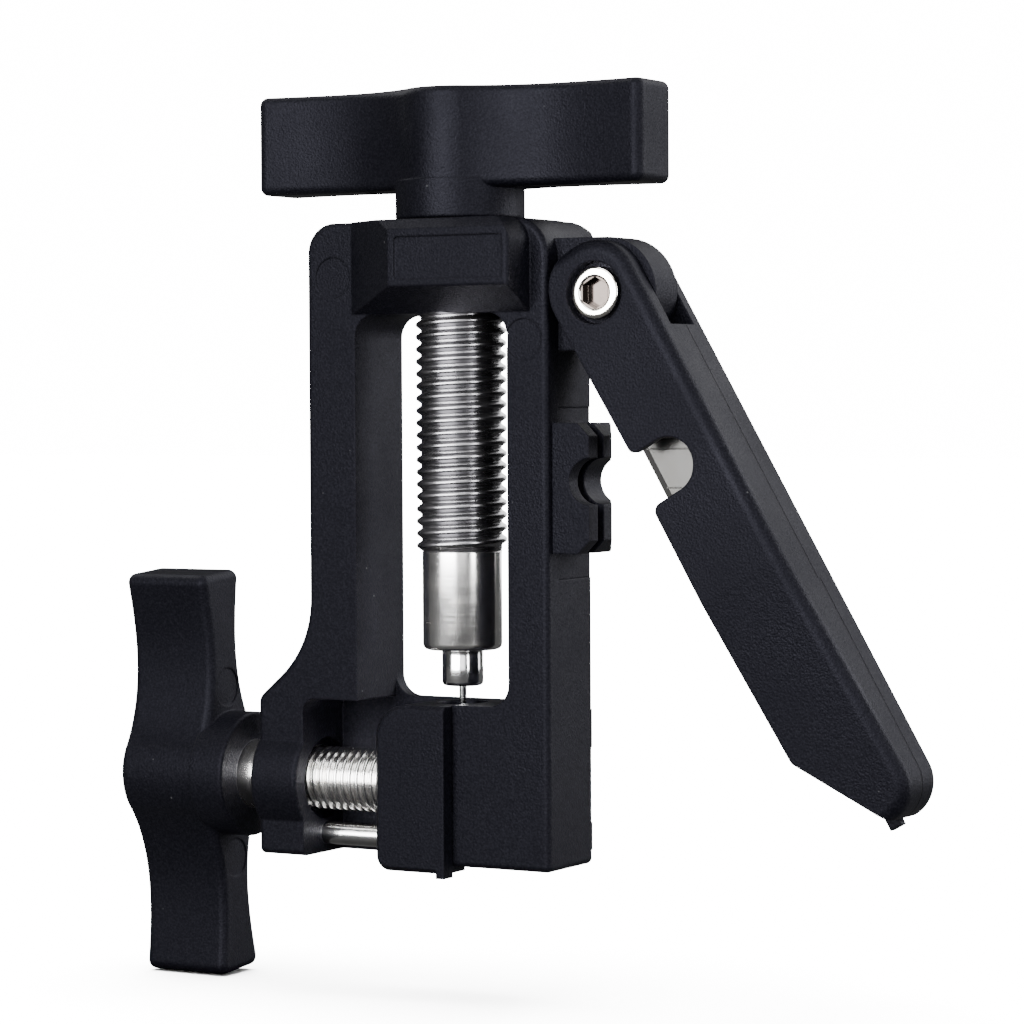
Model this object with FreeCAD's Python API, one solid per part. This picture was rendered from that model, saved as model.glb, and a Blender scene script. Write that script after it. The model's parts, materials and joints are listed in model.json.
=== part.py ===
import FreeCAD, Part
import math
import os

# Hose press and cutter for hydraulic brake hose.
# Row frame: the origin is the mouth of the hose bore, on the axis shared by the hose and the
# press needle. +Z runs up that axis to the press knob, +X points to the cutting lever, and
# -Y is the front face. Lengths are in millimetres.

V = FreeCAD.Vector
X_AXIS = V(1, 0, 0)
Y_AXIS = V(0, 1, 0)
Z_AXIS = V(0, 0, 1)

# ---- driving dimensions ----------------------------------------------------------------

# frame
frame_height = 85.4
frame_depth = 12.0
column_left = -20.6
column_right = 16.55
window_left = -12.95
window_right = 10.5
window_floor = 21.4
window_top = 73.1
window_corner = 3.0
arm_left = -29.0
arm_right = -21.7
block_left = 1.9
pocket_back = 4.0
pocket_corner = 1.8
rib_proud = 0.65
edge_round = 0.8

# press boss over the window
boss_depth = 11.7
boss_left = -4.2
boss_right = 14.0
boss_floor = 76.5
boss_skirt = -13.4

# press screw
press_radius = 6.025
press_pitch = 1.64
thread_depth = 0.9
press_thread_end = 41.3
press_shaft_radius = 5.3
press_shaft_end = 28.4
nose_radius = 2.75
nose_end = 23.56
needle_radius = 0.5
needle_end = 19.8
stem_radius = 1.5
stem_top = 35.5
ring_floor = 32.4
ring_height = 0.7

# clamp screw and its guide pin
clamp_height = 10.1
clamp_radius = 4.34
clamp_pitch = 1.13
clamp_thread_depth = 0.6
clamp_collar_radius = 4.7
clamp_hub = -33.5
clamp_boss_radius = 8.1
spigot_radius = 2.5
spigot_end = -4.1
clip_left = -7.05
clip_width = 0.8
guide_height = 2.6
guide_radius = 1.55

# jaw and hose bore
jaw_left = -8.9
jaw_right = 1.85
jaw_front = -8.3
jaw_back = 3.9
jaw_top = 21.3
jaw_bottom = -0.8
hose_radius = 2.6
hose_bore_length = 18.3
needle_relief_radius = 3.4

# wing knobs, of one design on both screws
press_knob_length = 59.0
clamp_knob_length = 56.0
knob_height = 17.3
knob_bar_height = 13.3
knob_hub_radius = 8.6
knob_bulge_radius = 8.2
knob_mark_offset = 12.0
clamp_knob_lean = 4.4
knob_waist = 3.3
knob_tip = 4.6

# cutting lever
pivot_x = 23.6
pivot_z = 75.3
lever_angle = 30.0
lever_half = 6.4
lever_split = 0.8
lever_head = 6.95
lever_edge = -6.45
lever_lip = -5.7
lever_grip_edge = -6.5
lever_spine = 6.25
grip_corner = 65.0
taper_start = 42.0
taper_slope = 0.09
split_step_start = 46.0
split_step = 0.6
lever_end = 77.0
lever_round = 1.7
lug_radius = 7.3
lug_half = 3.0
cheek_gap = 3.25
slot_end = 8.3
notch_centre = 24.4
notch_radius = 3.6
notch_reach = 1.8

# blade, a length of 9 mm snap-off blade
blade_start = 13.75
blade_end = 43.8
blade_width = 9.0
blade_edge = -6.15
blade_front = -1.9
blade_back = -1.4
blade_bevel = 0.9
score_pitch = 5.77
score_angle = 60.0

# anvil
anvil_floor = 41.6
anvil_top = 58.6
anvil_reach = 22.0
anvil_notch_radius = 3.05
anvil_notch_z = 51.0
anvil_corner = 1.7

# pivot hardware
pivot_barrel_radius = 2.9
pivot_screw_radius = 2.0
pivot_head_radius = 3.42
pivot_head_height = 2.0
pivot_recess_radius = 4.075
hex_socket = 3.6
pivot_seat = -4.2

# screws that join the lever's shells
shell_screw_radius = 1.2
shell_screw_end = -2.2
shell_head_radius = 2.2
shell_head_seat = 4.7
screw_spots = [(11.3, 0.0), (50.0, -1.0), (69.5, 0.8)]

running = 0.05
clear = 0.1
passage_gap = 0.25

# ---- helpers ---------------------------------------------------------------------------


def xz_plane(y):
    """Places outline coordinates (x, z) on the plane at this y."""
    return lambda point: V(point.x, y, point.y)


def xy_plane(z):
    """Places outline coordinates (x, y) on the plane at this z."""
    return lambda point: V(point.x, point.y, z)


def yz_plane(x):
    """Places outline coordinates (y, z) on the plane at this x."""
    return lambda point: V(x, point.x, point.y)


def rounded_face(corners, place):
    """Flat face whose outline turns each corner (u, v, radius) with a tangent arc."""
    turns = []
    for index, (u, v, radius) in enumerate(corners):
        here = V(u, v, 0)
        before = V(*corners[index - 1][:2], 0) - here
        after = V(*corners[(index + 1) % len(corners)][:2], 0) - here
        before.normalize()
        after.normalize()
        half = before.getAngle(after) / 2
        bisector = (before + after).normalize()
        run = radius / math.tan(half)
        middle = here + bisector * (radius / math.sin(half) - radius)
        turns.append((here + before * run, middle, here + after * run))
    edges = []
    for index, (start, middle, end) in enumerate(turns):
        previous = turns[index - 1][2]
        if (start - previous).Length > 1e-6:
            edges.append(Part.LineSegment(place(previous), place(start)).toShape())
        if corners[index][2] > 0:
            edges.append(Part.Arc(place(start), place(middle), place(end)).toShape())
    return Part.Face(Part.Wire(edges))


def prism(corners, place, reach):
    """Extrusion of a rounded outline along the vector reach."""
    return rounded_face(corners, place).extrude(reach)


def plate(corners, y_from, y_to):
    """Extrusion along Y of an outline drawn in X and Z."""
    return prism(corners, xz_plane(y_from), Y_AXIS * (y_to - y_from))


def block(x_from, x_to, y_from, y_to, z_from, z_to):
    corner = V(x_from, y_from, z_from)
    return Part.makeBox(x_to - x_from, y_to - y_from, z_to - z_from, corner)


def rod_x(radius, x_from, x_to, z):
    return Part.makeCylinder(radius, x_to - x_from, V(x_from, 0, z), X_AXIS)


def rod_y(radius, y_from, y_to, x, z):
    return Part.makeCylinder(radius, y_to - y_from, V(x, y_from, z), Y_AXIS)


def rod_z(radius, z_from, z_to):
    return Part.makeCylinder(radius, z_to - z_from, V(0, 0, z_from), Z_AXIS)


def mirrored_y(shape):
    return shape.mirror(V(0, 0, 0), Y_AXIS)


def hex_bar(across_flats, length, base, axis, up):
    """Hexagonal bar from base along axis, with one corner towards up."""
    side = axis.cross(up)
    corner = across_flats / math.sqrt(3)
    points = []
    for index in range(7):
        turn = math.radians(60 * index)
        points.append(base + up * corner * math.cos(turn) + side * corner * math.sin(turn))
    return Part.Face(Part.makePolygon(points)).extrude(axis * length)


def ringed_profile(radius, depth, pitch, start, end):
    """Outline points (radius, height) of thread crests and roots from start up to end."""
    count = round((end - start) / pitch)
    pitch = (end - start) / count
    points = []
    for index in range(count):
        foot = start + index * pitch
        points.append((radius - depth, foot))
        points.append((radius, foot + 0.40 * pitch))
        points.append((radius, foot + 0.60 * pitch))
    points.append((radius - depth, end))
    return points


def turned(points):
    """Solid of revolution about Z of an outline (radius, height) closed along the axis."""
    outline = [V(0, 0, points[0][1])]
    outline += [V(radius, 0, height) for radius, height in points]
    outline += [V(0, 0, points[-1][1]), outline[0]]
    return Part.Face(Part.makePolygon(outline)).revolve(V(0, 0, 0), Z_AXIS, 360)


def laid_along_x(shape, height):
    """Moves a shape turned about Z so that its axis lies along +X at this height."""
    moved = shape.copy()
    moved.rotate(V(0, 0, 0), Y_AXIS, 90)
    moved.translate(V(0, 0, height))
    return moved


def edges_where(shape, test):
    """Edges whose middle point passes the test."""
    found = []
    for edge in shape.Edges:
        middle = edge.valueAt(edge.getParameterByLength(edge.Length / 2))
        if test(middle):
            found.append(edge)
    return found


# ---- frame -----------------------------------------------------------------------------


def press_boss():
    """Front boss that carries the press nut, with its panel and slanted sides."""
    front = plate(
        [
            (boss_skirt, window_top, 0),
            (boss_skirt, frame_height, 0),
            (boss_right, frame_height, 3.3),
            (boss_right, window_top, 0),
        ],
        -boss_depth,
        0,
    )
    plan = prism(
        [
            (boss_skirt, 0, 0),
            (boss_skirt, -frame_depth / 2, 0),
            (boss_left, -boss_depth, 0.4),
            (boss_right, -boss_depth, 0.6),
            (boss_right, 0, 0),
        ],
        xy_plane(window_top),
        Z_AXIS * (frame_height - window_top),
    )
    side = prism(
        [
            (0, window_top, 0),
            (-frame_depth / 2, window_top, 0),
            (-boss_depth, boss_floor, 0.4),
            (-boss_depth, frame_height - 1.4, 0.6),
            (-boss_depth + 1.6, frame_height, 0.4),
            (0, frame_height, 0),
        ],
        yz_plane(boss_skirt),
        X_AXIS * (boss_right - boss_skirt),
    )
    border = 0.95
    panel = plate(
        [
            (boss_left + border, boss_floor + border, 0.5),
            (boss_left + border, frame_height - 2.4, 0.5),
            (boss_right - border, frame_height - 2.4, 0.5),
            (boss_right - border, boss_floor + border, 0.5),
        ],
        -boss_depth,
        -boss_depth + 0.25,
    )
    return front.common(plan).common(side).cut(panel)


def frame_core():
    """Columns, cross-bars, arm and fixed block, before the bosses and bores."""
    core = plate(
        [
            (column_left, frame_height, 4.0),
            (column_right, frame_height, 5.2),
            (column_right, 0, edge_round),
            (arm_left, 0, edge_round),
            (arm_left, 21.35, 1.8),
            (column_left, 28.6, 14.0),
        ],
        -frame_depth / 2,
        frame_depth / 2,
    )
    rim = edges_where(core, lambda at: abs(abs(at.y) - frame_depth / 2) < 0.01)
    return core.makeFillet(edge_round, rim)


def frame_openings():
    """Window, jaw pocket and the square foot of the left column's inner face."""
    window = plate(
        [
            (window_left, window_floor, window_corner),
            (window_left, window_top, window_corner),
            (window_right, window_top, window_corner),
            (window_right, window_floor, window_corner),
        ],
        -frame_depth,
        frame_depth,
    )
    pocket = plate(
        [
            (arm_right, -5, 0),
            (arm_right, window_floor, pocket_corner),
            (block_left, window_floor, 0),
            (block_left, -5, 0),
        ],
        -frame_depth,
        pocket_back,
    )
    foot = block(
        window_left,
        window_left + window_corner + 1,
        -frame_depth,
        pocket_back,
        window_floor - 1,
        window_floor + window_corner,
    )
    return [window, pocket, foot]


def mould_mark(x, z):
    """Shallow round ejector mark on the front face."""
    return rod_y(2.7, -frame_depth / 2 - 1, -frame_depth / 2 + 0.15, x, z)


def make_frame_body():
    body = frame_core()
    boss = press_boss()
    arm_boss = rod_x(clamp_boss_radius, arm_left, arm_right, clamp_height)
    arm_boss = arm_boss.makeFillet(0.5, arm_boss.Edges)
    lug = rod_y(lug_radius, -lug_half, lug_half, pivot_x, pivot_z)
    neck = plate(
        [
            (column_right - 3, pivot_z - lug_radius, 0),
            (column_right - 3, pivot_z + lug_radius, 0),
            (pivot_x, pivot_z + lug_radius, 0),
            (pivot_x, pivot_z - lug_radius, 0),
        ],
        -lug_half,
        lug_half,
    )
    ribs = [
        block(6.5, 16.0, frame_depth / 2 - 1, frame_depth / 2 + rib_proud, low, high)
        for low, high in ((1.7, 5.4), (15.4, 20.5))
    ]
    body = body.fuse([boss, mirrored_y(boss), arm_boss, lug, neck] + ribs)
    cuts = frame_openings()
    cuts += [mould_mark(-16.4, 78.1), mould_mark(13.0, 69.5)]
    # press nut seat and the passage above and below it
    cuts += [rod_z(press_radius + passage_gap, window_top - 2, frame_height + 1), press_nut_blank()]
    # clamp nut seat, shallow counterbore, and a passage that runs on as a groove in the pocket
    cuts += [rod_x(clamp_radius + passage_gap, arm_left - 1, jaw_left, clamp_height)]
    cuts += [rod_x(5.6, arm_right - 1.2, arm_right + 1, clamp_height), clamp_nut_blank()]
    # guide pin seat, hose bore and the relief round the needle tip
    cuts += [make_guide_pin()]
    cuts += [rod_z(hose_radius, -1, hose_bore_length), needle_relief()]
    # pivot bore and anvil seat
    cuts += [rod_y(4.0, -lug_half, lug_half, pivot_x, pivot_z), anvil_flange()]
    return body.cut(cuts).removeSplitter()


def needle_relief():
    return rod_z(needle_relief_radius, hose_bore_length, window_floor + 1)


def press_nut_blank():
    """Round insert with two flats that stop it turning in the plastic."""
    blank = rod_z(8.0, 74.6, 83.6)
    return blank.common(block(-9, 9, -7.2, 7.2, 74, 84))


def make_press_nut():
    return press_nut_blank().cut(rod_z(press_radius + running, 70, 90))


def clamp_nut_blank():
    blank = rod_x(5.7, -27.3, -23.4, clamp_height)
    return blank.common(block(-28, -23, -5.0, 5.0, clamp_height - 6, clamp_height + 6))


def make_clamp_nut():
    return clamp_nut_blank().cut(rod_x(clamp_radius + running, -30, -20, clamp_height))


def make_guide_pin():
    """Pin fixed in the arm that keeps the jaw from turning; it stops short of the hose."""
    pin = rod_x(guide_radius, arm_left + 1.0, -3.0, guide_height)
    return pin.makeChamfer(0.3, edges_where(pin, lambda at: at.x > -3.1))


def make_pivot_bush():
    bush = rod_y(4.0, -lug_half, lug_half, pivot_x, pivot_z)
    return bush.cut(rod_y(pivot_barrel_radius + running, -5, 5, pivot_x, pivot_z))


# ---- anvil -----------------------------------------------------------------------------


def anvil_flange():
    """Root of the anvil, let into the right column."""
    return block(column_right - 2.2, column_right + 1, -3.1, frame_depth / 2 + 1, 38.1, 60.6)


def anvil_plate(x_from, y_from, y_to):
    """One cheek of the anvil, with its outer corners cut off."""
    return plate(
        [
            (x_from, anvil_floor, 0),
            (anvil_reach - anvil_corner, anvil_floor, 0),
            (anvil_reach, anvil_floor + anvil_corner, 0),
            (anvil_reach, anvil_top - anvil_corner, 0),
            (anvil_reach - anvil_corner, anvil_top, 0),
            (x_from, anvil_top, 0),
        ],
        y_from,
        y_to,
    )


def make_anvil():
    root = anvil_flange().cut(block(column_right - 0.2, 20, -9, 9, 30, 70))
    root = root.cut(block(0, 20, frame_depth / 2 - 0.4, 9, 30, 70))
    front = anvil_plate(column_right, -4.9, -2.5)
    front_root = anvil_plate(column_right - 1.0, -3.1, -2.5)
    back = anvil_plate(column_right - 1.0, -0.8, 3.9)
    bevel = prism(
        [
            (anvil_reach, 1.35, 0),
            (anvil_reach + 2, 1.35, 0),
            (anvil_reach + 2, 5.0, 0),
            (anvil_reach - 1.5, 5.0, 0),
            (anvil_reach - 1.5, 3.9, 0),
        ],
        xy_plane(anvil_floor - 1),
        Z_AXIS * (anvil_top - anvil_floor + 2),
    )
    notch = rod_y(anvil_notch_radius, -6, 6, anvil_reach + 0.1, anvil_notch_z)
    body = root.fuse([front, front_root, back])
    return body.cut([bevel, notch]).removeSplitter()


# ---- press screw and needle ------------------------------------------------------------


def make_press_screw():
    """Threaded rod with a plain end, bored for the needle holder, and a hexagonal head."""
    points = [(press_shaft_radius - 0.7, press_shaft_end)]
    points += [(press_shaft_radius - 0.2, press_shaft_end + 0.2)]
    points += [(press_shaft_radius, press_shaft_end + 0.7), (press_shaft_radius, press_thread_end)]
    points += ringed_profile(press_radius, thread_depth, press_pitch, press_thread_end, frame_height)
    points += [(press_radius, frame_height), (press_radius, frame_height + 3)]
    rod = turned(points)
    head = hex_bar(10.0, 11.0, V(0, 0, frame_height + 3), Z_AXIS, X_AXIS)
    bore = rod_z(stem_radius + 0.07, press_shaft_end - 1, stem_top + 3.1)
    groove = rod_z(2.1, ring_floor - clear, ring_floor + ring_height + clear)
    return rod.fuse(head).cut([bore, groove])


def make_needle_holder():
    """Stepped nose that carries the needle and stays still while the rod turns."""
    nose = turned(
        [
            (nose_radius - 0.6, nose_end),
            (nose_radius - 0.18, nose_end + 0.18),
            (nose_radius, nose_end + 0.6),
            (nose_radius, press_shaft_end - running),
            (stem_radius, press_shaft_end - running),
            (stem_radius, ring_floor),
            (stem_radius - 0.3, ring_floor),
            (stem_radius - 0.3, ring_floor + ring_height),
            (stem_radius, ring_floor + ring_height),
            (stem_radius, stem_top),
        ]
    )
    return nose.cut(rod_z(needle_radius, nose_end - 1, 31.0))


def make_press_needle():
    needle = rod_z(needle_radius, needle_end, 31.0)
    return needle.makeChamfer(0.2, edges_where(needle, lambda at: at.z < needle_end + 0.1))


def make_needle_ring():
    """Split ring in the stem's groove; it holds the needle holder in the rod."""
    ring = rod_z(2.0, ring_floor, ring_floor + ring_height)
    ring = ring.cut(rod_z(stem_radius - 0.3, ring_floor - 1, ring_floor + 2))
    return ring.cut(block(0, 3, -0.4, 0.4, ring_floor - 1, ring_floor + 2))


def make_thrust_ball():
    """Ball between the stem and the end of its bore; it carries the pressing load."""
    return Part.makeSphere(1.45, V(0, 0, stem_top + 1.45 + 0.02))


# ---- wing knob -------------------------------------------------------------------------


def wing_outline(half):
    """Plan of the bar: a hub bulge, a waist on each side and wider tips."""
    crease = knob_bulge_radius / 2
    bulge = math.sqrt(knob_bulge_radius**2 - crease**2)
    flank = [(crease, bulge), (9.0, 4.55), (15.5, knob_waist), (22.0, 3.6), (half, knob_tip)]
    edges = []
    for along, across in ((1, 1), (1, -1), (-1, -1), (-1, 1)):
        spots = [V(s * along, t * across, 0) for s, t in flank]
        if along * across < 0:
            spots.reverse()
        curve = Part.BSplineCurve()
        curve.interpolate(spots)
        edges.append(curve.toShape())
    for side in (1, -1):
        ends = [V(crease * side, bulge * side, 0), V(0, knob_bulge_radius * side, 0)]
        ends.append(V(-crease * side, bulge * side, 0))
        edges.append(Part.Arc(*ends).toShape())
        tip = V(half * side, knob_tip * side, 0)
        edges.append(Part.LineSegment(tip, V(half * side, -knob_tip * side, 0)).toShape())
    return Part.Face(Part.Wire(Part.sortEdges(edges)[0]))


def wing_knob(length):
    """Knob in its own frame: hub face at the origin, bar along X, outer face towards +Z."""
    inner_face = knob_height - knob_bar_height
    bar = wing_outline(length / 2).extrude(Z_AXIS * knob_bar_height)
    bar.translate(Z_AXIS * inner_face)
    corners = edges_where(
        bar,
        lambda at: abs(at.x) > length / 2 - 0.01 and inner_face + 1 < at.z < knob_height - 1,
    )
    bar = bar.makeFillet(1.3, corners)
    rims = edges_where(bar, lambda at: min(abs(at.z - inner_face), abs(at.z - knob_height)) < 0.01)
    bar = bar.makeFillet(1.1, rims)
    hub = Part.makeCylinder(knob_hub_radius, inner_face + 1.2)
    hub = hub.makeFillet(0.4, edges_where(hub, lambda at: at.z < 0.01))
    marks = []
    for side in (-knob_mark_offset, knob_mark_offset):
        marks.append(Part.makeCylinder(2.65, 0.6, V(side, 0, inner_face - 0.4)))
    return bar.fuse(hub).cut(marks)


def make_press_knob():
    knob = wing_knob(press_knob_length)
    knob.translate(Z_AXIS * (frame_height + 0.15))
    return knob.cut(make_press_screw())


def make_clamp_knob():
    knob = wing_knob(clamp_knob_length)
    lean = math.radians(clamp_knob_lean)
    bar = V(0, -math.sin(lean), math.cos(lean))
    outward = V(-1, 0, 0)
    turn = FreeCAD.Rotation(bar, outward.cross(bar), outward, "ZXY")
    knob.Placement = FreeCAD.Placement(V(clamp_hub, 0, clamp_height), turn)
    return knob.cut(make_clamp_screw())


# ---- clamp screw and jaw ---------------------------------------------------------------


def make_clamp_screw():
    """Screw along X: hexagonal root in the knob, collar, thread and a grooved spigot."""
    groove = clip_left - clear
    points = [(clamp_collar_radius, clamp_hub - 3), (clamp_collar_radius, arm_left - 0.5)]
    points += [(clamp_radius - 0.3, arm_left - 0.4)]
    thread = (arm_left - 0.4, jaw_left - running)
    points += ringed_profile(clamp_radius, clamp_thread_depth, clamp_pitch, *thread)
    points += [
        (spigot_radius, jaw_left - running),
        (spigot_radius, groove),
        (spigot_radius - 0.6, groove),
        (spigot_radius - 0.6, clip_left + clip_width + clear),
        (spigot_radius, clip_left + clip_width + clear),
        (spigot_radius, spigot_end - 0.4),
        (spigot_radius - 0.4, spigot_end),
    ]
    screw = laid_along_x(turned(points), clamp_height)
    root = hex_bar(8.0, 10.0, V(clamp_hub - 3, 0, clamp_height), V(-1, 0, 0), Z_AXIS)
    return screw.fuse(root)


def clip_seat():
    """Slot, open at the jaw's back face, that takes the retaining clip."""
    seat = rod_x(4.0, clip_left, clip_left + clip_width, clamp_height)
    throat = block(clip_left, clip_left + clip_width, 0, jaw_back + 1, clamp_height - 4, clamp_height + 4)
    return seat.fuse(throat)


def make_jaw_clip():
    clip = rod_x(4.0, clip_left, clip_left + clip_width, clamp_height)
    bore = rod_x(spigot_radius - 0.6 + running, clip_left - 1, clip_left + 2, clamp_height)
    mouth = block(clip_left - 1, clip_left + 2, -5, 0, clamp_height - 1.6, clamp_height + 1.6)
    return clip.cut([bore, mouth])


def make_jaw():
    jaw = plate(
        [
            (jaw_left, jaw_bottom, 2.0),
            (jaw_left, jaw_top, 4.5),
            (jaw_right, jaw_top, 0),
            (jaw_right, jaw_bottom, 0),
        ],
        jaw_front,
        jaw_back,
    )
    front_rim = edges_where(jaw, lambda at: abs(at.y - jaw_front) < 0.01 and at.x < jaw_right - 0.1)
    jaw = jaw.makeChamfer(0.6, front_rim)
    lip = block(0.6, jaw_right, jaw_front, jaw_front + 2.3, jaw_bottom - 0.6, jaw_bottom + 1)
    cuts = [rod_z(hose_radius, -3, hose_bore_length), needle_relief()]
    # below the hose bore's mouth the jaw is relieved, so the grip ends with the frame
    cuts += [rod_z(needle_relief_radius, jaw_bottom - 1, 0)]
    cuts += [rod_x(spigot_radius + running, jaw_left - 1, spigot_end + clear, clamp_height)]
    cuts += [rod_x(guide_radius + 0.07, jaw_left - 1, 0, guide_height), clip_seat()]
    return jaw.fuse(lip).cut(cuts).removeSplitter()


# ---- cutting lever ---------------------------------------------------------------------

down_lever = V(math.sin(math.radians(lever_angle)), 0, -math.cos(math.radians(lever_angle)))
across_lever = V(math.cos(math.radians(lever_angle)), 0, math.sin(math.radians(lever_angle)))


def lever_plane(y):
    """Places (along, across) from the pivot, in the lever's own directions."""
    pivot = V(pivot_x, y, pivot_z)
    return lambda point: pivot + down_lever * point.x + across_lever * point.y


def lever_plate(corners, y_from, y_to):
    return prism(corners, lever_plane(y_from), Y_AXIS * (y_to - y_from))


def lever_box(along_from, along_to, across_from, across_to, y_from, y_to):
    corners = [
        (along_from, across_from, 0),
        (along_from, across_to, 0),
        (along_to, across_to, 0),
        (along_to, across_from, 0),
    ]
    return lever_plate(corners, y_from, y_to)


def lever_rod(radius, along, across, y_from, y_to):
    centre = lever_plane(y_from)(V(along, across, 0))
    return Part.makeCylinder(radius, y_to - y_from, centre, Y_AXIS)


def lever_blank():
    """Both shells as one solid: outline with the hose notch, edges rounded along the spine."""
    notch_low = notch_centre - notch_radius
    notch_high = notch_centre + notch_radius
    curl = notch_radius - 0.01
    outline = lever_plate(
        [
            (-lever_head, lever_edge, 6.4),
            (-lever_head, lever_spine, 6.3),
            (lever_end, lever_spine, 5.0),
            (lever_end + 0.3, 1.2, 0.9),
            (grip_corner, lever_grip_edge, 1.6),
            (notch_high, lever_grip_edge, 1.2),
            (notch_high, notch_reach, curl),
            (notch_low, notch_reach, curl),
            (notch_low, lever_lip, 1.0),
        ],
        -lever_half,
        lever_half,
    )
    cover = lever_plate(
        [
            (-lever_head, -14.0, 0),
            (-lever_head, lever_spine, 6.3),
            (lever_end, lever_spine, 5.0),
            (lever_end + 0.8, -14.0, 0),
        ],
        -lever_half,
        lever_half,
    )
    # towards its end the front face falls away to a thinner grip
    fall = taper_slope * (lever_end + 2 - taper_start)
    taper = [
        (taper_start, -lever_half, 0),
        (lever_end + 2, -lever_half, 0),
        (lever_end + 2, -lever_half + fall, 0),
    ]
    across = lever_plane(0)(V(0, 0, 0)) - across_lever * 20
    wedge = prism(taper, lambda point: across + down_lever * point.x + Y_AXIS * point.y, across_lever * 40)
    cover = cover.cut(wedge)

    def on_rim(at):
        spot = at - lever_plane(0)(V(0, 0, 0))
        crease = abs(spot.dot(down_lever) - taper_start) < 0.1 and at.y < 0
        return abs(at.y) > lever_half - fall - 0.1 and spot.dot(across_lever) > -13 and not crease

    return outline.common(cover.makeFillet(lever_round, edges_where(cover, on_rim)))


def front_half():
    """Space in front of the parting face, which steps back along the grip."""
    near = lever_box(-20, split_step_start, -20, 20, -10, lever_split)
    return near.fuse(lever_box(split_step_start, 100, -20, 20, -10, lever_split + split_step))


def lever_voids():
    """Cheek gap for the lug and the space that the anvil enters when the lever closes."""
    cheeks = lever_box(-lever_head - 1, slot_end, -12, 12, -cheek_gap, cheek_gap)
    anvil_space = lever_box(15.0, 36.0, -12, -1.2, -5.2, 4.2)
    return [cheeks, anvil_space]


def make_blade():
    """Snap-off blade with slanted ends, a ground edge and score lines on its front."""
    lean = blade_width / math.tan(math.radians(score_angle))
    outline = [
        (blade_start, blade_edge, 0),
        (blade_end - lean, blade_edge, 0),
        (blade_end, blade_edge + blade_width, 0),
        (blade_start + lean, blade_edge + blade_width, 0),
    ]
    blade = lever_plate(outline, blade_front, blade_back)
    middle = (blade_front + blade_back) / 2
    for face in (blade_front, blade_back):
        wedge = prism(
            [
                (blade_edge - 0.01, middle, 0),
                (blade_edge - 0.01, 2 * face - middle, 0),
                (blade_edge + blade_bevel * 2, 2 * face - middle, 0),
                (blade_edge + blade_bevel, face, 0),
            ],
            lambda point: V(pivot_x, 0, pivot_z) + across_lever * point.x + Y_AXIS * point.y,
            down_lever * (blade_end + 5),
        )
        blade = blade.cut(wedge)
    groove = 0.16
    scores = []
    for index in range(1, 4):
        start = blade_start + index * score_pitch
        line = [
            (start, blade_edge - 0.1, 0),
            (start + groove, blade_edge - 0.1, 0),
            (start + lean + groove, blade_edge + blade_width + 0.1, 0),
            (start + lean, blade_edge + blade_width + 0.1, 0),
        ]
        scores.append(lever_plate(line, blade_front - 1, blade_front + 0.08))
    return blade.cut(scores)


def blade_seat():
    """Pocket for the blade and the pad that presses on it, open at the cutting side."""
    return lever_box(blade_start, blade_end, -12, blade_edge + blade_width, blade_front, lever_split)


def make_front_shell():
    shell = lever_blank().common(front_half())
    cuts = lever_voids() + [blade_seat()]
    cuts += [lever_rod(pivot_recess_radius, 0, 0, -10, pivot_seat)]
    cuts += [lever_rod(pivot_screw_radius + running, 0, 0, -10, 0)]
    cuts += [lever_rod(pivot_barrel_radius, 0, 0, pivot_seat, 0)]
    for along, across in screw_spots:
        cuts += [lever_rod(shell_screw_radius, along, across, shell_screw_end, 5)]
    return shell.cut(cuts)


def make_back_shell():
    shell = lever_blank().cut(front_half())
    pad = lever_box(
        blade_start + clear,
        blade_end - clear,
        lever_edge,
        blade_edge + blade_width - clear,
        blade_back,
        lever_split + 1,
    )
    tab_front = lever_split + split_step
    tab = lever_box(lever_end - 1.0, lever_end + 0.8, -1.2, 0.5, tab_front, tab_front + 1.5)
    notch = lever_rod(notch_radius, notch_centre, notch_reach - notch_radius, -10, 10)
    mouth = lever_box(
        notch_centre - notch_radius,
        notch_centre + notch_radius,
        -12,
        notch_reach - notch_radius,
        -10,
        10,
    )
    cuts = lever_voids() + [notch, mouth]
    cuts += [lever_rod(pivot_recess_radius, 0, 0, -pivot_seat, 10)]
    cuts += [lever_rod(pivot_barrel_radius, 0, 0, 0, 10)]
    for along, across in screw_spots:
        cuts += [lever_rod(shell_screw_radius + clear, along, across, 0, 10)]
        cuts += [lever_rod(shell_head_radius + clear, along, across, shell_head_seat, 10)]
    return shell.fuse([pad, tab]).cut(cuts).removeSplitter()


def make_pivot_screw():
    """Socket-head pivot screw, entered from the front."""
    head_front = pivot_seat - pivot_head_height
    head = lever_rod(pivot_head_radius, 0, 0, head_front, pivot_seat)
    head = head.makeFillet(0.35, edges_where(head, lambda at: at.y < head_front + 0.01))
    shank = lever_rod(pivot_screw_radius, 0, 0, pivot_seat, 3.4)
    centre = V(pivot_x, head_front - 0.1, pivot_z)
    socket = hex_bar(hex_socket, 1.6, centre, Y_AXIS, Z_AXIS)
    mouth = Part.makeCone(hex_socket / math.sqrt(3) + 0.35, hex_socket / 2, 0.5, centre, Y_AXIS)
    return head.fuse(shank).cut([socket, mouth])


def make_pivot_nut():
    """Barrel nut that runs through the lug and takes the pivot screw."""
    head = lever_rod(pivot_head_radius, 0, 0, -pivot_seat, -pivot_seat + pivot_head_height)
    barrel = lever_rod(pivot_barrel_radius, 0, 0, pivot_seat, -pivot_seat)
    slot = block(pivot_x - 4, pivot_x + 4, -pivot_seat + 1.2, 10, pivot_z - 0.5, pivot_z + 0.5)
    bore = lever_rod(pivot_screw_radius, 0, 0, -10, 3.8)
    return head.fuse(barrel).cut([slot, bore])


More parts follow.
